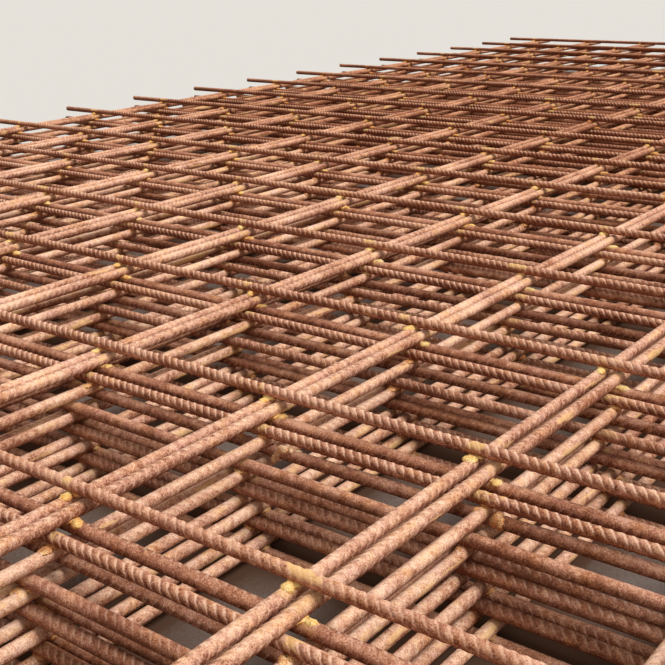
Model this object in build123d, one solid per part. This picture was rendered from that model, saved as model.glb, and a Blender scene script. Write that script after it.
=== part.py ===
from build123d import *
import os
from math import copysign

# A stack of welded reinforcing mesh sheets, lying flat as they are stored.
# Each sheet is a grid of long bars and cross bars, welded wherever they cross.
# Every second sheet is turned over. The long bars of two neighbours then lie side by side
# on one level, and so do the cross bars of the next two, so each sheet adds only one bar's
# thickness to the stack. X runs along the cross bars, Y along the long bars and Z up.
# The origin is under the middle of the stack, on the plane that it rests on.

# Bars
BAR = 10.5              # thickness of a bar over its ribs, for steel sold as 10 mm
SIDES = 8               # sides of a bar's plain section, with one face up and one down
WELD_SINK = 1.5         # how far a weld presses the two bars into each other

# Sheet
LONG_PITCH = 200.0      # from one long bar to the next, across the sheet
LONG_COUNT = 10         # long bars in a sheet
CROSS_PITCH = 200.0     # from one cross bar to the next, along the sheet
CROSS_COUNT = 18        # cross bars in a sheet
LONG_END = 100.0        # what a long bar reaches past the last cross bar
CROSS_END = 100.0       # what a cross bar reaches past the last long bar

# Stack
REST_GAP = 0.3          # play between the bars of two sheets that lie on each other
# How each sheet lies against the one above it, from the second sheet down, as X and Y slips.
# The second sheet's long bars share a level with those of the sheet above, the third sheet's
# cross bars do, and so on in turns. Across bars that share a level the number is the clear
# gap between them, on the side that its sign says, and along them it is the slip itself.
SLIPS = [(3.5, -12.8), (3.1, -5.1), (-30.6, 8.1), (37.6, -18.6), (-2.6, -3.5),
         (9.8, 6.4), (5.8, -7.0), (-3.1, -0.5), (5.5, -6.3)]


def places(count, pitch):
    """Evenly spaced places along one axis, centred on zero."""
    return [(i - (count - 1) / 2) * pitch for i in range(count)]


def bar(length):
    """One straight bar along Z, centred on the origin, with flat sides towards X and Y."""
    with BuildPart() as made:
        with BuildSketch():
            RegularPolygon(BAR / 2, SIDES, major_radius=False, rotation=180 / SIDES)
        extrude(amount=length / 2, both=True)
    return made.part


def long_bars(height):
    """The long bars of one sheet, with their middles at one height."""
    rod = Rot(90, 0, 0) * bar(CROSS_PITCH * (CROSS_COUNT - 1) + 2 * LONG_END)
    return [Pos(x, 0, height) * rod for x in places(LONG_COUNT, LONG_PITCH)]


def cross_bars(height):
    """The cross bars of one sheet, with their middles at one height."""
    rod = Rot(0, 90, 0) * bar(LONG_PITCH * (LONG_COUNT - 1) + 2 * CROSS_END)
    return [Pos(0, y, height) * rod for y in places(CROSS_COUNT, CROSS_PITCH)]


def mesh_sheet(cross_bars_up):
    """One welded sheet, with its lower bars resting on Z = 0."""
    low, high = BAR / 2, BAR * 3 / 2 - WELD_SINK
    if cross_bars_up:
        first, *others = long_bars(low) + cross_bars(high)
    else:
        first, *others = cross_bars(low) + long_bars(high)
    return first.fuse(*others)


def beside(gap):
    """The slip that lays a bar beside another with this clear gap, on the side of its sign."""
    return gap + copysign(BAR, gap)


def sheet_places():
    """The X and Y places of all sheets, top sheet first, each slipped from the one above."""
    x_places, y_places = [0.0], [0.0]
    for i, (along_x, along_y) in enumerate(SLIPS):
        long_bars_share = i % 2 == 0
        x_places.append(x_places[-1] + (beside(along_x) if long_bars_share else along_x))
        y_places.append(y_places[-1] + (along_y if long_bars_share else beside(along_y)))
    return zip(centred(x_places), centred(y_places))


def centred(values):
    """The same values, moved so that the lowest and the highest lie evenly about zero."""
    middle = (min(values) + max(values)) / 2
    return [value - middle for value in values]


def stack():
    """All sheets, lowest first. The lowest lies with its cross bars down, the top one up."""
    turned = {True: mesh_sheet(True), False: mesh_sheet(False)}
    lowest_first = reversed(list(sheet_places()))
    return [Pos(x, y, i * (BAR + REST_GAP)) * turned[i % 2 == 1]
            for i, (x, y) in enumerate(lowest_first)]


os.makedirs("parts", exist_ok=True)
for number, sheet in enumerate(stack(), start=1):
    export_step(sheet, f"parts/mesh_sheet_{number}.step")
    box = sheet.bounding_box()
    print(f"mesh_sheet_{number}: {len(sheet.solids())} solid, X {box.min.X:.1f} to {box.max.X:.1f},",
          f"Y {box.min.Y:.1f} to {box.max.Y:.1f}, Z {box.min.Z:.1f} to {box.max.Z:.1f}")
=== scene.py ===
# %% [markdown]
# # A stack of rusty reinforcing mesh
# Ten sheets of welded mesh lie on each other, as they are stored before use. Every second sheet
# is turned over, so that bars which run the same way lie side by side on one level. We start
# from the frame, which holds the sheets at their true size, and dress each one: bars with ribs,
# a lump of weld metal at every crossing, sheared ends, and a skin of rust.

# %% Load the frame
import math
import random

import bmesh
import bpy
import numpy as np
from mathutils import Matrix, Vector


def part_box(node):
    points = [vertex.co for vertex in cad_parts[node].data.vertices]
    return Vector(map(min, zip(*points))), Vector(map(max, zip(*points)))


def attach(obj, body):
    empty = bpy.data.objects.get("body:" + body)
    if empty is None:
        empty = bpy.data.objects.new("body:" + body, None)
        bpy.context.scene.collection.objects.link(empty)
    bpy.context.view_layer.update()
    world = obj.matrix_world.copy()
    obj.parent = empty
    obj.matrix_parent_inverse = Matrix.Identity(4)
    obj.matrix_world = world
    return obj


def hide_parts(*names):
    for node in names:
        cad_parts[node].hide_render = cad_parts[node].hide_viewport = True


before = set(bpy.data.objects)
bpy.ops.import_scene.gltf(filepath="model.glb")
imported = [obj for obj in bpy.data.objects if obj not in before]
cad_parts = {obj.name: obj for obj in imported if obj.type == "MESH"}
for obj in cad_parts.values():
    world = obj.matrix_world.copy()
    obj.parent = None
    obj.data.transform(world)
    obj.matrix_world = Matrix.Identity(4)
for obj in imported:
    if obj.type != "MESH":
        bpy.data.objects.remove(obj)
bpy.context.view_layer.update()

# %% [markdown]
# ## Where the bars run
# On a real sheet a machine sets the bars at one even pitch. We could measure every bar in the
# frame, but its box is enough: the bars are evenly spaced inside it, so their lines follow from
# the box and three sizes. Sheets with an even number have their cross bars up.

# %% Sizes of the mesh, in metres
MM = 0.001
SHEETS = 10
BAR_RADIUS = 5.25 * MM       # over the ribs
CORE_RADIUS = {"long": 4.95 * MM, "cross": 4.6 * MM}    # between the ribs
PLAIN_RADIUS = 5.15 * MM     # of a bar whose ribs are left to the bump
PITCH = 200 * MM             # from bar to bar, both ways
BAR_END = 100 * MM           # from the last crossing to a bar's end
LONG_COUNT, CROSS_COUNT = 10, 18
LONG_LENGTH = PITCH * (CROSS_COUNT - 1) + 2 * BAR_END
CROSS_LENGTH = PITCH * (LONG_COUNT - 1) + 2 * BAR_END
print("bars of", round(LONG_LENGTH, 3), "m and of", round(CROSS_LENGTH, 3), "m")


# %% One sheet's lines
def sheet_plan(number):
    """Where one sheet's long bars and cross bars run, and how high, read from the frame."""
    low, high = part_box(f"mesh_sheet_{number}")
    cross_up = number % 2 == 0
    lower, upper = low.z + BAR_RADIUS, high.z - BAR_RADIUS
    return {
        "middle": (low + high) / 2,
        "long": [low.x + BAR_END + i * PITCH for i in range(LONG_COUNT)],
        "cross": [low.y + BAR_END + i * PITCH for i in range(CROSS_COUNT)],
        "long_z": lower if cross_up else upper,
        "cross_z": upper if cross_up else lower,
    }


plans = {number: sheet_plan(number) for number in range(1, SHEETS + 1)}
print("top sheet's first long bar at x =", round(plans[SHEETS]["long"][0], 4))

# %% [markdown]
# ## How the bars wander
# Drawn steel is never quite straight. Random noise would bend each bar by itself, but two bars
# that lie side by side on one level press against each other. So both follow the same two
# gentle waves, and a few bars of the top layers sit a few millimetres off their even place.

# %% Sizes of the bends
BEND, BEND_WAVE = 0.9 * MM, (1.3, 2.4)          # how far a bar strays, and a wave's length in m
RIPPLE, RIPPLE_WAVE = 0.35 * MM, (0.42, 0.7)    # the same for the shorter waves
SHIFTS = {                   # bars of the top layers that sit off their even place
    ("long", 5): -2.4 * MM, ("long", 6): -0.4 * MM, ("long", 7): 4.1 * MM,
    ("long", 8): -5.0 * MM,
    ("cross", 1): 1.0 * MM, ("cross", 2): -4.0 * MM, ("cross", 3): -4.0 * MM,
    ("cross", 4): 1.0 * MM, ("cross", 5): 4.5 * MM, ("cross", 6): 1.0 * MM,
}
PRESSED = {(10, 5): 1.0 * MM, (10, 6): 3.4 * MM, (9, 7): -3.4 * MM}   # long bars that touch


# %% Bends
def level_of(number, way):
    """Bars of two sheets that share a level get the same number here, counted from the top."""
    from_top = SHEETS - number
    return from_top // 2 if way == "long" else (from_top + 1) // 2


def wander(number, way, index):
    """A function that gives one bar's sideways stray at each place along it."""
    level = level_of(number, way)
    draw = random.Random(f"{way} level {level} bar {index}")
    phase, ripple_phase = draw.uniform(0, math.tau), draw.uniform(0, math.tau)
    wave, ripple_wave = draw.uniform(*BEND_WAVE), draw.uniform(*RIPPLE_WAVE)
    shift = SHIFTS.get((way, index), 0.0) if level == 0 else 0.0
    if way == "long":
        shift += PRESSED.get((number, index), 0.0)
    return lambda along: (
        shift + BEND * np.sin(math.tau * along / wave + phase)
        + RIPPLE * np.sin(math.tau * along / ripple_wave + ripple_phase)
    )


print("a long bar of the top sheet strays",
      [round(float(wander(10, "long", 6)(at)) / MM, 1) for at in (-1.5, -0.5, 0.5, 1.5)], "mm")

# %% [markdown]
# ## The bar
# Ribbed bar has two rows of slanting ribs, one on each side, which fade out where the rows meet.
# One could screw a rib along a cylinder, but a ring of eight points is enough: every second ring
# is pushed out where the rows are, and all rings are tipped, so that the ribs slant. An Array
# modifier repeats one rib's length, and two flat cuts shear the bar to its length.
# Bars that hide lower in the stack use the same recipe with no rib and far longer steps.

# %% Sizes of the ribs
SIDES = 8
RIB_PITCH = 7.6 * MM
RIB_TIP = 4.2 * MM           # how far a ring is tipped along the bar, each way
RIB_FADE = 0.6               # below 1, a rib keeps its height further round the bar
PLAIN_STEP = 200 * MM
MERGE = 0.01 * MM            # rings of two steps that are closer than this are joined
END_SLOT = 1                 # the second material of a piece is for the sheared ends
print("ribs in a long bar:", int(LONG_LENGTH / RIB_PITCH))


# %% One step of bar
def bar_step(step, radius, rib, tip):
    """A tube along Z, one step long, with a raised ring at both ends and a low one between."""
    bm = bmesh.new()
    bmesh.ops.create_circle(bm, segments=SIDES, radius=radius)
    rings = [bm.verts[:]]
    edges = bm.edges[:]
    for _ in range(2):
        made = bmesh.ops.extrude_edge_only(bm, edges=edges)["geom"]
        rings.append([part for part in made if isinstance(part, bmesh.types.BMVert)])
        edges = [part for part in made if isinstance(part, bmesh.types.BMEdge)]
        edges = [edge for edge in edges if all(v in rings[-1] for v in edge.verts)]
        bmesh.ops.translate(bm, verts=rings[-1], vec=(0, 0, step / 2))
    for ring in (rings[0], rings[2]):
        for vert in ring:
            height = rib * abs(vert.co.y / radius) ** RIB_FADE
            vert.co.xy *= 1 + height / radius
    for vert in bm.verts:
        vert.co.z -= tip * math.cos(math.atan2(vert.co.y, vert.co.x))
    bmesh.ops.recalc_face_normals(bm, faces=bm.faces)
    return bm


def unwrap_along(bm):
    """Gives the tube a map: across it the share of the way round, up it the metres along."""
    layer = bm.loops.layers.uv.new("along_bar")
    for face in bm.faces:
        turns = [math.atan2(loop.vert.co.y, loop.vert.co.x) / math.tau for loop in face.loops]
        wraps = max(turns) - min(turns) > 0.5
        for loop, turn in zip(face.loops, turns):
            loop[layer].uv = (turn + 1 if wraps and turn < 0 else turn, loop.vert.co.z)


# %% From a bmesh to a piece
def to_piece(name, bm, *materials):
    """Ends the modelling: the bmesh becomes an object at the origin, with its materials."""
    piece = bpy.data.objects.new(name, bpy.data.meshes.new(name))
    bm.to_mesh(piece.data)
    bm.free()
    bpy.context.scene.collection.objects.link(piece)
    for material in materials:
        piece.data.materials.append(material)
    return piece


# %% Steps joined end to end
def repeat_step(bm, step, count):
    """The tube repeated along Z and centred on the origin. Its map runs on along the bar."""
    piece = to_piece("steps", bm)
    array = piece.modifiers.new("repeat", "ARRAY")
    array.use_relative_offset = False
    array.use_constant_offset = True
    array.constant_offset_displace = (0, 0, step)
    array.offset_v = step
    array.use_merge_vertices = True
    array.merge_threshold = MERGE
    array.count = count
    shown = piece.evaluated_get(bpy.context.evaluated_depsgraph_get())
    bm = bmesh.new()
    bm.from_mesh(shown.to_mesh())
    half = count // 2 * step
    bmesh.ops.translate(bm, verts=bm.verts, vec=(0, 0, -half))
    for face in bm.faces:
        face.smooth = True
        for loop in face.loops:
            loop[bm.loops.layers.uv.active].uv.y -= half
    bpy.data.objects.remove(piece)
    return bm


# %% A bar of full length
def cut_end(bm, at, outward):
    """Shears the tube off flat and closes it."""
    geom = bm.verts[:] + bm.edges[:] + bm.faces[:]
    cut = bmesh.ops.bisect_plane(bm, geom=geom, plane_co=(0, 0, at),
                                 plane_no=(0, 0, outward), clear_outer=True)["geom_cut"]
    rim = [part for part in cut if isinstance(part, bmesh.types.BMEdge)]
    for face in bmesh.ops.holes_fill(bm, edges=rim, sides=0)["faces"]:
        face.material_index = END_SLOT


def whole_bar(name, length, step, radius, rib=0.0, tip=0.0):
    """The finished bar along Z, centred on the origin."""
    bm = bar_step(step, radius, rib, tip)
    unwrap_along(bm)
    bm = repeat_step(bm, step, math.ceil((length / 2 + tip) / step) * 2 + 2)
    for outward in (1, -1):
        cut_end(bm, outward * length / 2, outward)
    mesh = bpy.data.meshes.new(name)
    bm.to_mesh(mesh)
    bm.free()
    print(name, "has", len(mesh.polygons), "faces")
    return mesh


SLIDE = 3 * MM               # how unevenly the bars are pushed in before they are welded
masters = {}
for way, full_length in (("long", LONG_LENGTH), ("cross", CROSS_LENGTH)):
    length, core = full_length - 2 * SLIDE, CORE_RADIUS[way]
    masters[way, True] = whole_bar(f"{way}_ribbed", length, RIB_PITCH, core,
                                   BAR_RADIUS - core, RIB_TIP)
    masters[way, False] = whole_bar(f"{way}_plain", length, PLAIN_STEP, PLAIN_RADIUS)

# %% [markdown]
# ## Rust, from node groups
# Mesh is stored outdoors and rusts within days. Painted images would show their edges on bars
# this long, so every mark is computed from a place on the piece. Each effect is a node group
# with named sockets, so that every material can use it with values of its own. A few helpers
# keep the trees short to write.

# %% Helpers that add nodes
COLOUR, NUMBER = "NodeSocketColor", "NodeSocketFloat"


def feed(tree, socket, value):
    """Links a socket if the value is another socket, and sets it otherwise."""
    if isinstance(value, bpy.types.NodeSocket):
        tree.links.new(value, socket)
    else:
        socket.default_value = value


def add(tree, kind, values=None, **properties):
    """A new node, with its properties and the values of its sockets."""
    node = tree.nodes.new(kind)
    for name, value in properties.items():
        setattr(node, name, value)
    for name, value in (values or {}).items():
        feed(tree, node.inputs[name], value)
    return node


def group(name, inputs, outputs):
    """An empty node group with named sockets. Returns the tree and its two ends' sockets."""
    tree = bpy.data.node_groups.new(name, "ShaderNodeTree")
    for socket_name, kind, value in inputs:
        socket = tree.interface.new_socket(socket_name, in_out="INPUT", socket_type=kind)
        socket.default_value = value
    for socket_name, kind in outputs:
        tree.interface.new_socket(socket_name, in_out="OUTPUT", socket_type=kind)
    source = tree.nodes.new("NodeGroupInput").outputs
    target = tree.nodes.new("NodeGroupOutput").inputs
    return tree, source, target


# %% Helpers for numbers and colours
def calc(tree, operation, *values):
    """A Math node's result."""
    node = add(tree, "ShaderNodeMath", operation=operation)
    for socket, value in zip(node.inputs, values):
        feed(tree, socket, value)
    return node.outputs[0]


def ramp(tree, value, start, end):
    """Rises smoothly from 0 at the start to 1 at the end."""
    values = {"Value": value, "From Min": start, "From Max": end}
    return add(tree, "ShaderNodeMapRange", values, interpolation_type="SMOOTHSTEP").outputs[0]


def blend(tree, share, first, second, mode="MIX"):
    """A colour between two others."""
    node = add(tree, "ShaderNodeMix", data_type="RGBA", blend_type=mode)
    for index, value in ((0, share), (6, first), (7, second)):    # a Mix node's colour sockets
        feed(tree, node.inputs[index], value)
    return node.outputs[2]


def tint(tree, share, colour, through):
    """A colour as if it were seen, in part, through a coloured film."""
    return blend(tree, share, colour, through, "MULTIPLY")


def rgb(red, green, blue):
    """A colour from its screen values of 0 to 255."""
    return (*[((part / 255 + 0.055) / 1.055) ** 2.4 for part in (red, green, blue)], 1.0)


# %% Helpers that read the surface
def noise(tree, place, scale, detail, roughness=0.5):
    """A cloudy value round 0, that strays half a unit either way at most."""
    values = {"Vector": place, "Scale": scale, "Detail": detail, "Roughness": roughness}
    return calc(tree, "SUBTRACT", add(tree, "ShaderNodeTexNoise", values).outputs[0], 0.5)


def own_place(tree):
    """The place on the piece, in metres."""
    return add(tree, "ShaderNodeTexCoord").outputs["Object"]


def facing(tree, axis):
    """1 where the surface looks straight along an axis, 0 across it, -1 where it looks back."""
    way = add(tree, "ShaderNodeTexCoord").outputs["Normal"]
    return add(tree, "ShaderNodeSeparateXYZ", {"Vector": way}).outputs[axis]


def place_on_bar(tree):
    """The angle round the bar, and the metres along it, from the map that runs along it."""
    uv = add(tree, "ShaderNodeUVMap", uv_map="along_bar").outputs[0]
    split = add(tree, "ShaderNodeSeparateXYZ", {"Vector": uv})
    return calc(tree, "MULTIPLY", split.outputs["X"], math.tau), split.outputs["Y"]


def mark(tree, name):
    """The number that each bar carries under this name."""
    return add(tree, "ShaderNodeAttribute", attribute_name=name).outputs["Fac"]


print("rust brown as the shader reads it:", [round(part, 3) for part in rgb(146, 90, 64)])

# %% [markdown]
# ## The rust skin
# Real rust is a dark pinkish crust. Pale dust lies on it, and the driest spots bloom paler still.
# One noise can't give that, so three of different size add up to how well the dust covers the
# crust. Two more shift the hue from sandy to violet and leave grey lime marks. Small cells give
# the pits. The far end of the stack is browner and smoother. Where the surface faces up the cover
# rises, and where it faces down it falls: in part settled dust, in part painted light on the tops
# and painted shade on the undersides.

# %% Marks of the skin: scale, detail and roughness of each noise
AREA, PATCH, GRAIN = (14, 3, 0.6), (160, 3, 0.65), (880, 2, 0.7)
HUE, LIME = (52, 3, 0.7), (8, 5, 0.75)
PIT_SCALE = 600

# %% How far the dust covers the crust
COVER_MIDDLE = 0.5
AREA_SHARE, PATCH_SHARE = 1.1, 1.1
GRAIN_SHARE, GRAIN_LOST = 1.2, -0.5      # at the near end, and what the far end loses
DUST_AND_PAINTED_LIGHT_OVER = 0.45          # what looks up more than this gets dust and painted light, the rest painted shade
TONE_SHARE = 0.12            # how much the bars differ from each other
FAR_END = (-0.9, 0.3)        # metres along the stack, over which it turns browner
FAR_COVER = -0.15
DUST_AT, BLOOM_AT = (0.22, 0.50), (0.52, 0.80)     # covers where the paler rusts set in

# %% Colours and pits of the skin
FAR_FILM = rgb(243, 230, 214)
SANDY_FILM, VIOLET_FILM, HUE_SHARE = rgb(255, 244, 214), rgb(244, 240, 252), 0.8
HUE_REACH = 0.2
LIME_GREY, LIME_AT = rgb(228, 208, 196), (0.16, 0.28)
PIT_EDGE, PIT_PATCHES, PIT_SHARE = (0.34, 0.12), (-0.08, 0.1), 0.3
ROUGH_MIDDLE, ROUGH_GRAIN = 0.86, 0.3
PATCH_HEIGHT = 0.8           # against the grain's height


# %% Build the skin
def dust_and_painted_shade_cover(tree, source, far, marks):
    """How far the dust covers the crust, round a half, with painted light on tops and shade
    below.
    """
    cover = calc(tree, "ADD", source["Cover"], COVER_MIDDLE)
    grain_share = calc(tree, "MULTIPLY_ADD", far, GRAIN_LOST, GRAIN_SHARE)
    for part, share in zip(marks, (AREA_SHARE, PATCH_SHARE, grain_share)):
        cover = calc(tree, "MULTIPLY_ADD", part, share, cover)
    upward = calc(tree, "SUBTRACT", facing(tree, "Z"), DUST_AND_PAINTED_LIGHT_OVER)
    # Faces that look up get more cover and faces that look down less: settled dust, and painted
    # light and shade.
    cover = calc(tree, "MULTIPLY_ADD", upward, source["Settled and painted shade"], cover)
    tone = calc(tree, "SUBTRACT", source["Tone"], 0.5)
    cover = calc(tree, "MULTIPLY_ADD", tone, TONE_SHARE, cover)
    return calc(tree, "MULTIPLY_ADD", far, FAR_COVER, cover)


def shift_hue(tree, place, colour):
    """Some spots turn sandy and others violet."""
    hue = noise(tree, place, *HUE)
    for reach, film in ((HUE_REACH, SANDY_FILM), (-HUE_REACH, VIOLET_FILM)):
        share = calc(tree, "MULTIPLY", ramp(tree, hue, 0.0, reach), HUE_SHARE)
        colour = tint(tree, share, colour, film)
    return colour


def rust_skin():
    """Crust, dust, bloom, lime, pits, grain and painted light and shade, on the piece's own
    coordinates.
    """
    tree, source, target = group(
        "rust_skin",
        [("Crust", COLOUR, rgb(150, 98, 78)), ("Dust", COLOUR, rgb(212, 162, 138)),
         ("Bloom", COLOUR, rgb(246, 208, 182)), ("Pit", COLOUR, rgb(104, 60, 46)),
         ("Cover", NUMBER, 0.0), ("Settled and painted shade", NUMBER, 0.1), ("Lime", NUMBER, 0.5),
         ("Tone", NUMBER, 0.5)],
        [("Color", COLOUR), ("Roughness", NUMBER), ("Height", NUMBER)])
    place = own_place(tree)
    along = add(tree, "ShaderNodeSeparateXYZ", {"Vector": place}).outputs["Y"]
    far = ramp(tree, along, *FAR_END)
    area, patch, grain = [noise(tree, place, *marks) for marks in (AREA, PATCH, GRAIN)]
    cover = dust_and_painted_shade_cover(tree, source, far, (area, patch, grain))
    colour = blend(tree, ramp(tree, cover, *DUST_AT), source["Crust"], source["Dust"])
    colour = blend(tree, ramp(tree, cover, *BLOOM_AT), colour, source["Bloom"])
    colour = shift_hue(tree, place, tint(tree, far, colour, FAR_FILM))
    lime = calc(tree, "MULTIPLY", ramp(tree, noise(tree, place, *LIME), *LIME_AT), source["Lime"])
    colour = blend(tree, lime, colour, LIME_GREY)
    cell = add(tree, "ShaderNodeTexVoronoi", {"Vector": place, "Scale": PIT_SCALE}).outputs[0]
    pits = calc(tree, "MULTIPLY", ramp(tree, cell, *PIT_EDGE), ramp(tree, patch, *PIT_PATCHES))
    colour = blend(tree, calc(tree, "MULTIPLY", pits, PIT_SHARE), colour, source["Pit"])
    raised = calc(tree, "MULTIPLY_ADD", patch, PATCH_HEIGHT, grain)
    feed(tree, target["Color"], colour)
    feed(tree, target["Roughness"], calc(tree, "MULTIPLY_ADD", grain, ROUGH_GRAIN, ROUGH_MIDDLE))
    feed(tree, target["Height"], calc(tree, "SUBTRACT", raised, pits))
    return tree


skin = rust_skin()
print("nodes in the skin:", len(skin.nodes))

# %% [markdown]
# ## The ribs, as a pattern
# On a rusty bar the rib tops are rubbed pale, and here they carry a painted highlight as well.
# The side behind each rib is painted dark, as painted shade. Modelled ribs alone look too soft
# for that. The bar's own map knows how far along and how far round each point is, so the pattern
# follows the same tipped rings as the mesh. Noise wears the edges, and noise that is stretched
# along the ribs gives fine hairs.

# %% Sizes of the rib pattern
WEAR, WEAR_SHARE = (260, 2), 0.35        # the noise, and how many ribs' widths it moves a rib
HAIR, HAIRS = (1.0, 3, 0.7), 5.0         # the noise, and its waves from rib to rib
HAIR_EDGE, HAIR_AT = 0.3, (0.0, -0.2)
CREST_WIDTH, CREST_HIGHLIGHT_UP = 0.02, 0.11     # half a rib's pale top, and the painted highlight that facing up adds
CREST_EDGE = (0.1, -0.06)
SEAM_WIDTH = 0.5                         # over which a row of ribs fades out at its seam
RIB_SHADE_START, RIB_SHADE_END = (0.06, 0.22), (0.85, 0.3)     # the painted shade behind each rib, in shares of the pitch


# %% Build the rib pattern
def rib_pattern():
    """Rib tops with painted highlight, painted shade beside each, fine hairs, from the bar's map.
    """
    tree, source, target = group("rib_pattern", [("Seam", NUMBER, 0.15)],
                                 [("Rib", NUMBER), ("Painted rib shade", NUMBER), ("Hair", NUMBER)])
    turn, along = place_on_bar(tree)
    over, beside = calc(tree, "SINE", turn), calc(tree, "COSINE", turn)
    tipped = calc(tree, "MULTIPLY_ADD", beside, RIB_TIP, along)
    wear = noise(tree, own_place(tree), *WEAR)
    phase = calc(tree, "MULTIPLY_ADD", wear, WEAR_SHARE, calc(tree, "DIVIDE", tipped, RIB_PITCH))
    spot = add(tree, "ShaderNodeCombineXYZ", {"X": calc(tree, "MULTIPLY", phase, HAIRS),
                                              "Y": beside, "Z": over}).outputs[0]
    hair = noise(tree, spot, *HAIR)
    off_crest, past_crest = calc(tree, "PINGPONG", phase, 0.5), calc(tree, "FRACT", phase)
    # the pale crest widens where the bar faces up: a painted highlight
    upward = ramp(tree, facing(tree, "Z"), 0.0, 1.0)
    wide = calc(tree, "MULTIPLY_ADD", upward, CREST_HIGHLIGHT_UP, CREST_WIDTH)
    edge = calc(tree, "MULTIPLY_ADD", hair, HAIR_EDGE, calc(tree, "SUBTRACT", off_crest, wide))
    seam_end = calc(tree, "ADD", source["Seam"], SEAM_WIDTH)
    seam = ramp(tree, calc(tree, "ABSOLUTE", over), source["Seam"], seam_end)
    # painted shade on the side behind each rib
    painted_rib_shade = calc(tree, "MULTIPLY", ramp(tree, past_crest, *RIB_SHADE_START),
               ramp(tree, past_crest, *RIB_SHADE_END))
    feed(tree, target["Rib"], calc(tree, "MULTIPLY", ramp(tree, edge, *CREST_EDGE), seam))
    feed(tree, target["Painted rib shade"], calc(tree, "MULTIPLY", painted_rib_shade, seam))
    feed(tree, target["Hair"], ramp(tree, hair, *HAIR_AT))
    return tree


ribs = rib_pattern()
print("nodes in the rib pattern:", len(ribs.nodes))

# %% [markdown]
# ## The weld's burn
# Where a weld burnt the scale off, fresh rust shows yellow. The bar's map tells how far the next
# crossing is. That alone would give every joint the same clean ring, so one noise tears the
# ring's edge and a slow one makes some joints burn wide and others not at all.

# %% Build the burn
BURN_REACH = 0.008           # metres from the middle of a crossing
BURN_EDGE = (1.0, 0.45)      # in shares of the reach
BURN_RAG, BURN_RAG_SHARE = (90, 3), -5
BURN_AREA, BURN_AREA_SHARE = (7, 1), -4


def weld_burn():
    """1 close to a crossing, with a ragged edge, from the map that runs along the bar."""
    tree, source, target = group("weld_burn", [("Reach", NUMBER, BURN_REACH)],
                                 [("Burn", NUMBER)])
    along = place_on_bar(tree)[1]
    away = calc(tree, "PINGPONG", calc(tree, "ADD", along, PITCH / 2), PITCH / 2)
    share = calc(tree, "DIVIDE", away, source["Reach"])
    place = own_place(tree)
    for marks, weight in ((BURN_RAG, BURN_RAG_SHARE), (BURN_AREA, BURN_AREA_SHARE)):
        share = calc(tree, "MULTIPLY_ADD", noise(tree, place, *marks), weight, share)
    feed(tree, target["Burn"], ramp(tree, share, *BURN_EDGE))
    return tree


burn = weld_burn()
print("nodes in the burn:", len(burn.nodes))

# %% [markdown]
# ## Streaks along the bar
# Here and there a bar has long golden marks, where another bar rubbed it and it rusts afresh.
# Painting them would take a map for each bar. A noise that is stretched along the bar gives them,
# and each bar's own number moves it on, so that no two bars match. They are painted only on the
# side that the light strikes, so they are in part a painted highlight.

# %% Build the streaks
STREAK, STREAK_AT = (1.0, 5, 0.55), (0.13, 0.19)
STREAK_ROUND, STREAK_ALONG = 0.5, 18.0   # noise waves across the bar, and in a metre of it
BARS_APART = 40.0            # noise waves that two bars may lie apart
COVER_SHARE = 0.2            # how much the Cover socket counts
LIT_SIDE = (0.2, 0.7)        # how far the surface looks to the lamp's side


def long_streaks():
    """Thin stripes along the bar, from its map, on the lit side only: rust and painted highlight.
    """
    tree, source, target = group("long_streaks", [("Cover", NUMBER, 0.3)], [("Streak", NUMBER)])
    turn, along = place_on_bar(tree)
    beside = calc(tree, "MULTIPLY", calc(tree, "COSINE", turn), STREAK_ROUND)
    spot = add(tree, "ShaderNodeCombineXYZ", {
        "X": calc(tree, "MULTIPLY_ADD", mark(tree, "tone"), BARS_APART, beside),
        "Y": calc(tree, "MULTIPLY", calc(tree, "SINE", turn), STREAK_ROUND),
        "Z": calc(tree, "MULTIPLY", along, STREAK_ALONG)}).outputs[0]
    wave = calc(tree, "MULTIPLY_ADD", source["Cover"], COVER_SHARE, noise(tree, spot, *STREAK))
    lit = ramp(tree, facing(tree, "X"), *LIT_SIDE)
    feed(tree, target["Streak"], calc(tree, "MULTIPLY", ramp(tree, wave, *STREAK_AT), lit))
    return tree


streaks = long_streaks()
print("node groups:", [tree.name for tree in (skin, ribs, burn, streaks)])

# %% [markdown]
# ## Materials
# The shader itself stays in each material, and the groups only feed it colours, roughness and
# height. Rust has no metal shine left, so it is a rough, plain surface. Bars of one kind share
# a material, and numbers that the bars carry keep them from looking alike.

# %% Material parts
GLOSS = 0.25                 # the shader's specular level
BUMP_GRAIN = 0.35 * MM
HAIR_FILM, RIB_SHADE_FILM = rgb(188, 158, 146), rgb(146, 108, 94)
CREST_PALE_AND_HIGHLIGHT, STREAK_GOLD, BURNT_GOLD = rgb(250, 208, 180), rgb(243, 198, 134), rgb(244, 198, 128)
STREAK_SHARE = 0.55
BURN_SEEN = (-0.1, 0.8)      # from below to above: how far a burn shows; only the tops, as painted light


def place_group(tree, which, values=None):
    """A group node in a material."""
    return add(tree, "ShaderNodeGroup", values, node_tree=which)


def new_material(name):
    """A material with an empty Principled shader."""
    material = bpy.data.materials.new(name)
    material.use_nodes = True
    shader = material.node_tree.nodes["Principled BSDF"]
    shader.inputs["Specular IOR Level"].default_value = GLOSS
    return material, material.node_tree, shader


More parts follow.
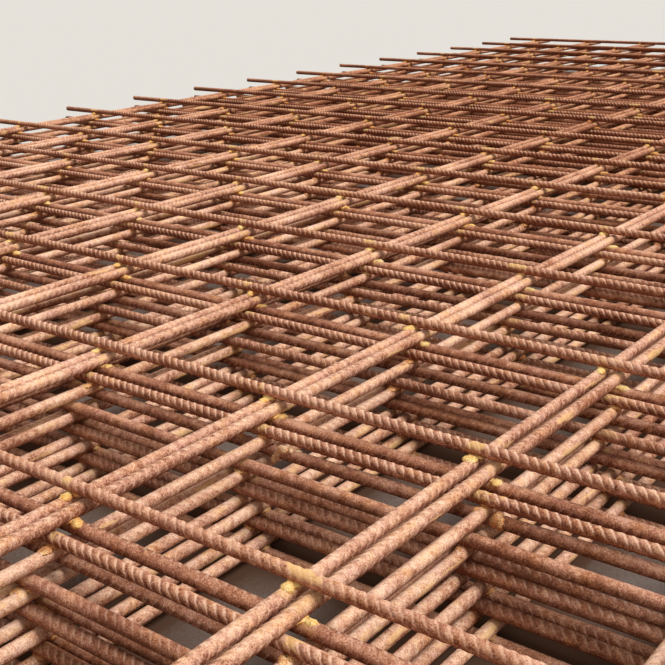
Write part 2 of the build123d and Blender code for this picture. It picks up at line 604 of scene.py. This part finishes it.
# %% Rust on a bar
def bar_colour(tree, rust, rib, rib_strength, streak_cover, burnt):
    """The skin's colour with hairs, painted rib shade, pale crests with painted highlight,
    streaks, burns.
    """
    def share(effect):
        return calc(tree, "MULTIPLY", effect, rib_strength)

    colour = tint(tree, share(rib.outputs["Hair"]), rust.outputs["Color"], HAIR_FILM)
    # painted shade on the side behind each rib
    colour = tint(tree, share(rib.outputs["Painted rib shade"]), colour, RIB_SHADE_FILM)
    # rib tops rubbed pale, and a painted highlight
    colour = blend(tree, share(rib.outputs["Rib"]), colour, CREST_PALE_AND_HIGHLIGHT)
    streak = place_group(tree, streaks, {"Cover": streak_cover}).outputs["Streak"]
    # gold streaks: fresh rust, and a painted highlight, as they show on the lit side only
    colour = blend(tree, calc(tree, "MULTIPLY", streak, STREAK_SHARE), colour, STREAK_GOLD)
    heat = place_group(tree, burn).outputs["Burn"]
    # the burn is painted on upward faces only, so it is in part painted light on the tops
    heat = calc(tree, "MULTIPLY", heat, ramp(tree, facing(tree, "Z"), *BURN_SEEN))
    return blend(tree, calc(tree, "MULTIPLY", heat, burnt), colour, BURNT_GOLD)


def bar_material(name, values, rib_depth, rib_tint, seam, streak_cover, burnt):
    """Rust with paler rib tops, fresh yellow rust by the welds, and bump for grain and ribs."""
    material, tree, shader = new_material(name)
    rust = place_group(tree, skin, {**values, "Tone": mark(tree, "tone")})
    rib = place_group(tree, ribs, {"Seam": seam})
    shown = mark(tree, "rib_show")
    strength = calc(tree, "MULTIPLY", shown, rib_tint)
    feed(tree, shader.inputs["Base Color"],
         bar_colour(tree, rust, rib, strength, streak_cover, burnt))
    feed(tree, shader.inputs["Roughness"], rust.outputs["Roughness"])
    low = add(tree, "ShaderNodeBump", {
        "Height": calc(tree, "MULTIPLY", rib.outputs["Rib"], shown), "Distance": rib_depth})
    top = add(tree, "ShaderNodeBump", {"Height": rust.outputs["Height"],
                                       "Distance": BUMP_GRAIN, "Normal": low.outputs[0]})
    feed(tree, shader.inputs["Normal"], top.outputs[0])
    return material


# %% The four rusts of the bars
LONG_SKIN = {"Crust": rgb(146, 90, 64), "Dust": rgb(208, 157, 129), "Bloom": rgb(243, 200, 170),
             "Settled and painted shade": 0.24}
LOW_SKIN = {"Crust": rgb(150, 93, 66), "Dust": rgb(212, 160, 130), "Bloom": rgb(247, 207, 176),
            "Cover": 0.03, "Settled and painted shade": 0.24}
RIBBED_SKIN = {"Crust": rgb(140, 82, 56), "Dust": rgb(200, 141, 110), "Bloom": rgb(240, 190, 158),
               "Settled and painted shade": 0.25, "Lime": 0.3}
SMOOTH_SKIN = {"Crust": rgb(126, 75, 52), "Dust": rgb(178, 121, 93), "Bloom": rgb(224, 172, 142),
               "Cover": -0.04, "Settled and painted shade": 0.2, "Lime": 0.3}
bar_rust = {
    ("long", True): bar_material(
        "long_rust_ribbed", LONG_SKIN, rib_depth=0.2 * MM, rib_tint=0.42, seam=0.15,
        streak_cover=0.15, burnt=0.35),
    ("long", False): bar_material(
        "long_rust_plain", LOW_SKIN, rib_depth=0.3 * MM, rib_tint=0.3, seam=0.3,
        streak_cover=0.3, burnt=0.3),
    ("cross", True): bar_material(
        "cross_rust_ribbed", RIBBED_SKIN, rib_depth=0.35 * MM, rib_tint=0.8, seam=0.15,
        streak_cover=0.0, burnt=0.62),
    ("cross", False): bar_material(
        "cross_rust_plain", SMOOTH_SKIN, rib_depth=0.4 * MM, rib_tint=0.45, seam=0.45,
        streak_cover=0.0, burnt=0.3),
}
print("rusts of the bars:", [material.name for material in bar_rust.values()])


# %% Rust on welds and ends
def lump_material(name, values, roughen=BUMP_GRAIN):
    """Rust on a lump of weld metal or a sheared end."""
    material, tree, shader = new_material(name)
    rust = place_group(tree, skin, values)
    feed(tree, shader.inputs["Base Color"], rust.outputs["Color"])
    feed(tree, shader.inputs["Roughness"], rust.outputs["Roughness"])
    bump = add(tree, "ShaderNodeBump", {"Height": rust.outputs["Height"], "Distance": roughen})
    feed(tree, shader.inputs["Normal"], bump.outputs[0])
    return material


weld_rust = lump_material("weld_rust", {
    "Crust": rgb(225, 154, 86), "Dust": rgb(245, 204, 126), "Bloom": rgb(252, 231, 170),
    "Pit": rgb(150, 90, 50), "Lime": 0.0}, 0.8 * MM)
old_weld_rust = lump_material("old_weld_rust", {
    "Crust": rgb(170, 98, 58), "Dust": rgb(230, 164, 106), "Bloom": rgb(252, 214, 154),
    "Pit": rgb(120, 62, 34), "Lime": 0.0}, 1.2 * MM)
splash_rust = lump_material("splash_rust", {
    "Crust": rgb(226, 142, 92), "Dust": rgb(252, 194, 138), "Bloom": rgb(255, 232, 192),
    "Pit": rgb(140, 76, 44), "Lime": 0.0}, 1.0 * MM)
end_rust = lump_material("end_rust", {
    "Crust": rgb(110, 66, 50), "Dust": rgb(158, 108, 86), "Bloom": rgb(200, 150, 122),
    "Pit": rgb(70, 42, 34), "Lime": 0.0})
print("other rusts:", [rust.name for rust in (weld_rust, old_weld_rust, splash_rust, end_rust)])

# %% [markdown]
# ## Laying the bars
# A sheet is made of two pieces, its long bars and its cross bars. Each bar could be modelled in
# its place, but it is quicker to copy the right master, turn it about its own line so that its
# ribs face as they do in a real stack, lay it down in its place and bend it. Bars near the top
# of the stack get modelled ribs. The rest are deep in shade, and get theirs from the bump.

# %% Which bars have modelled ribs, and how they are turned
RIBBED = {(10, "long"), (10, "cross"), (9, "long"), (8, "cross")}
LONG_TURN = 52.0             # degrees: the seam between the rib rows looks up and to the right
CROSS_TURN = 130.0           # degrees: a row of ribs looks up and to the front
SMOOTH_TURN = 38.0           # degrees: the seam looks there
SMOOTH_CROSS = {9, 7}        # sheets whose cross bars show their seam in front
SMOOTH_BARS = {(6, 2), (5, 2), (5, 3), (4, 2)}   # and single cross bars that do
TURN_SPREAD, LOW_TURN_SPREAD = 12.0, 45.0        # degrees, near the top and lower down
HIGHEST_LOW = 6              # the highest sheet that counts as lower down


def bar_turn(number, way, index):
    """How far round its own line a bar is rolled, in degrees."""
    if way == "long":
        return LONG_TURN
    return SMOOTH_TURN if number in SMOOTH_CROSS or (number, index) in SMOOTH_BARS else CROSS_TURN


print("a cross bar of the top sheet is rolled", bar_turn(10, "cross", 0), "degrees")


# %% One bar in its place
def bend_bar(mesh, number, way, index):
    """Moves a bar that lies on the origin to its own place, and bends it."""
    plan = plans[number]
    spots = np.empty(len(mesh.vertices) * 3, np.float32)
    mesh.vertices.foreach_get("co", spots)
    spots = spots.reshape(-1, 3)
    along, side = (1, 0) if way == "long" else (0, 1)
    spots[:, side] += plan[way][index] + wander(number, way, index)(spots[:, along])
    spots[:, along] += plan["middle"][along]
    spots[:, 2] += plan[f"{way}_z"]
    mesh.vertices.foreach_set("co", spots.ravel())


def laid_bar(number, way, index):
    """A copy of the right master, rolled, slid, laid down and bent."""
    draw = random.Random(f"{way}_bars_{number} {index}")
    mesh = masters[way, (number, way) in RIBBED].copy()
    roll = draw.gauss(0, TURN_SPREAD if number > HIGHEST_LOW else LOW_TURN_SPREAD)
    turn = math.radians(bar_turn(number, way, index) + roll)
    slide = draw.uniform(-SLIDE, SLIDE)
    flip = Matrix.Rotation(math.radians(90), 4, "X" if way == "long" else "Y")
    mesh.transform(flip @ Matrix.Translation((0, 0, slide)) @ Matrix.Rotation(turn, 4, "Z"))
    bend_bar(mesh, number, way, index)
    return mesh


# %% Numbers that the bars carry
RIB_SHOW = (0.7, 1.0)        # how clearly ribs stand out of the crust
FAR_FADE = 0.025             # of the ribs' show, from one cross bar to the next
CLOGGED = {(10, 1): 0.4, (6, 2): 0.35, (6, 1): 0.4}   # cross bars whose ribs hardly show


def rib_show(number, way, index):
    """How clearly a bar's ribs stand out of the crust, from 0 to 1."""
    if way == "cross" and (number, index) in CLOGGED:
        return CLOGGED[number, index]
    share = random.Random(f"rib show {number} {way} {index}").uniform(*RIB_SHOW)
    return share if way == "long" else share * (1 - FAR_FADE * index)


def mark_bars(piece, name, values):
    """Gives each bar of a piece one number that its material can read."""
    marks = piece.data.attributes.new(name, "FLOAT", "POINT")
    marks.data.foreach_set("value", np.repeat(values, len(piece.data.vertices) // len(values)))


# %% Lay all bars
def lay_bars(number, way):
    """All long bars or all cross bars of one sheet, as one piece."""
    name = f"{way}_bars_{number}"
    bars = range(len(plans[number][way]))
    bm = bmesh.new()
    for index in bars:
        mesh = laid_bar(number, way, index)
        bm.from_mesh(mesh)
        bpy.data.meshes.remove(mesh)
    piece = to_piece(name, bm, bar_rust[way, (number, way) in RIBBED], end_rust)
    mark_bars(piece, "tone", [random.Random(f"{name} tone {index}").random() for index in bars])
    mark_bars(piece, "rib_show", [rib_show(number, way, index) for index in bars])
    return piece


pieces = {(number, way): lay_bars(number, way)
          for number in range(1, SHEETS + 1) for way in ("long", "cross")}
faces = {key: len(piece.data.polygons) for key, piece in pieces.items()}
print("faces in a ribbed piece", faces[10, "long"], "and in a plain one", faces[1, "long"])

# %% [markdown]
# ## Welds
# Each crossing is pressed together while a current melts the bars into each other. A little
# metal squeezes out round the joint and sets as a lumpy collar, which rusts yellow first. On
# the upper sheets some of it has run out along the lower bar as flash, and two bigger splashes
# sit on one cross bar. Modelling each would take thousands of shapes, so one small lumpy ball,
# made once and copied with its own turn and size, does for all of them.

# %% Sizes of the welds
WELD_SIZE = (6.4 * MM, 6.4 * MM, 2.2 * MM)
FLASH_SIZE = (6.4 * MM, 4.6 * MM, 2.5 * MM)   # along the lower bar, across it, and up
OLD_FLASH_SIZE = (6.0 * MM, 4.4 * MM, 1.7 * MM)
SIZE_SPREAD = [(0.65, 1.3), (0.95, 1.05)]     # of collars and flash, and of splashes
FLASH_AWAY = 7.6 * MM        # from the middle of the joint, along the lower bar
FLASH_STRAY = 1.0 * MM       # across the lower bar
FLASH_DROP = -0.6 * MM
FLASH_CHANCE, OLD_FLASH_CHANCE = 0.85, 0.5    # on each side of a joint
FLASH_FROM = 5               # lowest sheet whose joints show flash
FRESH_FROM = 9               # lowest sheet whose welds still rust yellow
WELD_TURN = 0.4              # radians
WELD, SPLASH = 0, 1          # the two materials of a welds piece

# %% One lump of weld metal
BALL_SIDES, BALL_RINGS = 8, 5
BALL_LUMPS = (0.86, 1.12)    # how far its points lie from the middle


def weld_ball():
    """A small lumpy ball, a few dozen faces."""
    draw = random.Random("ball")
    bm = bmesh.new()
    bmesh.ops.create_uvsphere(bm, u_segments=BALL_SIDES, v_segments=BALL_RINGS, radius=1.0)
    for vert in bm.verts:
        vert.co *= draw.uniform(*BALL_LUMPS)
    for face in bm.faces:
        face.smooth = True
    mesh = bpy.data.meshes.new("weld_ball")
    bm.to_mesh(mesh)
    bm.free()
    return mesh


ball = weld_ball()
print("faces in a lump:", len(ball.polygons))


# %% Where the joints are
def crossings(number):
    """The middle of each joint of one sheet, where its two bars touch."""
    plan = plans[number]
    height = (plan["long_z"] + plan["cross_z"]) / 2
    for i, x in enumerate(plan["long"]):
        for j, y in enumerate(plan["cross"]):
            x_off = wander(number, "long", i)(y - plan["middle"].y)
            y_off = wander(number, "cross", j)(x - plan["middle"].x)
            yield Vector((x + float(x_off), y + float(y_off), height))


print("joints of a sheet:", len(list(crossings(SHEETS))))

# %% Splashes and flash
SPLASH_SHEET = 7
SPLASHES = [                 # place, and lumps with their offsets and sizes in millimetres
    (0.526, -1.2902, [((-3, -2.4, 4.4), (6.6, 4.4, 3.6)), ((4, -0.5, 5), (6, 2.8, 2.4)),
                      ((10, 0.5, 5.2), (4, 1.8, 1.3)), ((-7, -4.4, 1), (3.4, 2.6, 4.6)),
                      ((-9.5, -5.6, -4), (2.5, 2.2, 4))]),
    (0.7135, -1.2902, [((0, 0, 1), (6, 6.6, 6.4)), ((4, -2, 0), (4, 5, 5)),
                       ((-4, 1, 2), (3.5, 5, 4.5))]),
]


def splashes_near(spot):
    """Lumps of a splash of weld metal on the cross bar, if one lies near this joint."""
    lumps = []
    for x, y, parts in SPLASHES:
        if abs(x - spot.x) < PITCH / 2 and abs(y - spot.y) < PITCH / 2:
            bar = Vector((x, spot.y, plans[SPLASH_SHEET]["cross_z"]))
            lumps += [(bar + Vector(off) * MM, tuple(part * MM for part in size), SPLASH)
                      for off, size in parts]
    return lumps


def flash_near(spot, number, lower_bar, draw):
    """Flash on the lower bar, on one side of the joint, on both or on none."""
    fresh = number >= FRESH_FROM
    lumps = []
    for side in (-1, 1):
        if draw.random() < (FLASH_CHANCE if fresh else OLD_FLASH_CHANCE):
            away = Vector((side * FLASH_AWAY, draw.gauss(0, FLASH_STRAY), FLASH_DROP))
            lumps.append((spot + lower_bar @ away, FLASH_SIZE if fresh else OLD_FLASH_SIZE, WELD))
    return lumps


# %% Weld all sheets
def add_lump(bm, place, size, rust, lower_bar, draw):
    """One copy of the ball, with its own size, turn, place and material."""
    mesh = ball.copy()
    mesh.polygons.foreach_set("material_index", [rust] * len(mesh.polygons))
    sizes = [part * draw.uniform(*SIZE_SPREAD[rust]) for part in size]
    turn = Matrix.Rotation(draw.gauss(0, WELD_TURN), 4, "Z") @ lower_bar
    mesh.transform(Matrix.Translation(place) @ turn @ Matrix.Diagonal((*sizes, 1)))
    bm.from_mesh(mesh)
    bpy.data.meshes.remove(mesh)


def weld_sheet(number):
    """All weld metal of one sheet, as one piece."""
    name = f"welds_{number}"
    draw = random.Random(name)
    bm = bmesh.new()
    lower_bar = Matrix.Rotation(math.radians(90 if number % 2 == 0 else 0), 4, "Z")
    for spot in crossings(number):
        lumps = [(spot, WELD_SIZE, WELD)]
        if number == SPLASH_SHEET:
            lumps += splashes_near(spot)
        if number >= FLASH_FROM:
            lumps += flash_near(spot, number, lower_bar, draw)
        for place, size, rust in lumps:
            add_lump(bm, place, size, rust, lower_bar, draw)
    return to_piece(name, bm, weld_rust if number >= FRESH_FROM else old_weld_rust, splash_rust)


for number in range(1, SHEETS + 1):
    pieces[number, "weld"] = weld_sheet(number)
print("weld collars:", SHEETS * LONG_COUNT * CROSS_COUNT)

# %% [markdown]
# ## Handing the pieces to the frame
# Each piece rides on the body of the stack and stands for its sheet.

# %% Ride and replace
for (number, way), piece in pieces.items():
    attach(piece, "root")
    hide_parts(f"mesh_sheet_{number}")
print("triangles:", sum(sum(len(p.vertices) - 2 for p in piece.data.polygons)
                        for piece in pieces.values()))

# %% [markdown]
# ## Floor
# The stack lies on a plain pale floor. A pale floor would throw light up into the stack, so it
# is pale to the camera only and darker to the light that it sends back. Ambient occlusion
# deepens its shade close under the mesh, so that the gaps stay dark.

# %% Lay the floor
FLOOR_SIDE = 40.0
FLOOR_PALE, FLOOR_SHADE, FLOOR_BOUNCE = rgb(206, 205, 202), rgb(84, 62, 49), rgb(118, 106, 96)
SHADE_REACH = 0.2            # metres that the mesh shades the floor over
SHADE_AT = (0.45, 1.0)       # open sky, from full shade to none
FLOOR_ROUGHNESS = 0.9


def seen_straight(tree):
    """1 for the camera and for gloss, 0 for the light that bounces about."""
    path = add(tree, "ShaderNodeLightPath")
    return calc(tree, "MAXIMUM", path.outputs["Is Camera Ray"], path.outputs["Is Glossy Ray"])


def floor_material():
    """Pale to the camera, darker to bounced light, and deeper in shade close under the mesh."""
    material, tree, shader = new_material("pale_floor")
    open_sky = add(tree, "ShaderNodeAmbientOcclusion", {"Distance": SHADE_REACH}).outputs["AO"]
    pale = blend(tree, ramp(tree, open_sky, *SHADE_AT), FLOOR_SHADE, FLOOR_PALE)
    feed(tree, shader.inputs["Base Color"], blend(tree, seen_straight(tree), FLOOR_BOUNCE, pale))
    shader.inputs["Roughness"].default_value = FLOOR_ROUGHNESS
    shader.inputs["Specular IOR Level"].default_value = 0.0
    return material


floor_bm = bmesh.new()
bmesh.ops.create_grid(floor_bm, x_segments=1, y_segments=1, size=FLOOR_SIDE / 2)
floor = to_piece("floor", floor_bm, floor_material())
print("floor of", FLOOR_SIDE, "m")

# %% [markdown]
# ## Light
# One broad lamp high on the right gives the bars a bright and a dark side. Its wide angle makes
# the shadows soft. The pale surroundings fill the shade. They are plain white to the camera,
# and weaker to the object, so that the background doesn't light it more.

# %% Set the lights
SUN_FROM = Vector((0.62, 0.14, 0.80))
SUN_STRENGTH = 2.75
SUN_ANGLE = 22.0             # degrees
FILL_STRENGTH = 0.61
ROOM_FILL, ROOM_SEEN = rgb(252, 244, 234), rgb(236, 236, 234)

sun = bpy.data.objects.new("broad_lamp", bpy.data.lights.new("broad_lamp", "SUN"))
sun.data.energy = SUN_STRENGTH
sun.data.angle = math.radians(SUN_ANGLE)
sun.rotation_euler = SUN_FROM.to_track_quat("Z", "Y").to_euler()
bpy.context.scene.collection.objects.link(sun)

world = bpy.data.worlds.new("pale_room")
bpy.context.scene.world = world
world.use_nodes = True
room = world.node_tree
seen = seen_straight(room)
background = room.nodes["Background"]
feed(room, background.inputs["Color"], blend(room, seen, ROOM_FILL, ROOM_SEEN))
feed(room, background.inputs["Strength"],
     calc(room, "ADD", FILL_STRENGTH, calc(room, "MULTIPLY", seen, 1 - FILL_STRENGTH)))
print("lamp", SUN_STRENGTH, "and fill", FILL_STRENGTH)

# %% [markdown]
# ## Camera
# The camera looks along the stack from its near right corner, low enough for the gaps to show
# several layers. Its place, turn and lens were fitted to the crossings of the top bars. Its axis
# lies a little right of the picture's middle, which a small lens shift makes good.

# %% Set the camera
IMAGE_SIDE = 665             # pixels
FOCAL_PIXELS = 1099.65       # found from the lines of the mesh
AXIS_COLUMN = 370            # the column that the camera points at
CAMERA_AT = Vector((1.0472, -1.8690, 0.4419))
HEADING, DOWNWARD, ROLL = -0.6482, 0.3383, -0.0248     # radians
SENSOR = 36.0                # millimetres
NEAR = 0.05                  # metres: nothing closer is drawn

forward = Vector((math.sin(HEADING) * math.cos(DOWNWARD),
                  math.cos(HEADING) * math.cos(DOWNWARD), -math.sin(DOWNWARD)))
level = Vector((math.cos(HEADING), -math.sin(HEADING), 0))
upright = level.cross(forward)
right = math.cos(ROLL) * level + math.sin(ROLL) * upright
up = math.cos(ROLL) * upright - math.sin(ROLL) * level
turned = Matrix((right, up, -forward)).transposed().to_4x4()
camera = bpy.data.objects.new("camera", bpy.data.cameras.new("camera"))
camera.data.sensor_width = SENSOR
camera.data.lens = SENSOR * FOCAL_PIXELS / IMAGE_SIDE
camera.data.shift_x = (IMAGE_SIDE / 2 - AXIS_COLUMN) / IMAGE_SIDE
camera.data.clip_start = NEAR
camera.matrix_world = Matrix.Translation(CAMERA_AT) @ turned
bpy.context.scene.collection.objects.link(camera)
bpy.context.scene.camera = camera
bpy.context.scene.view_settings.view_transform = "Standard"
print("lens of", round(camera.data.lens, 1), "mm")
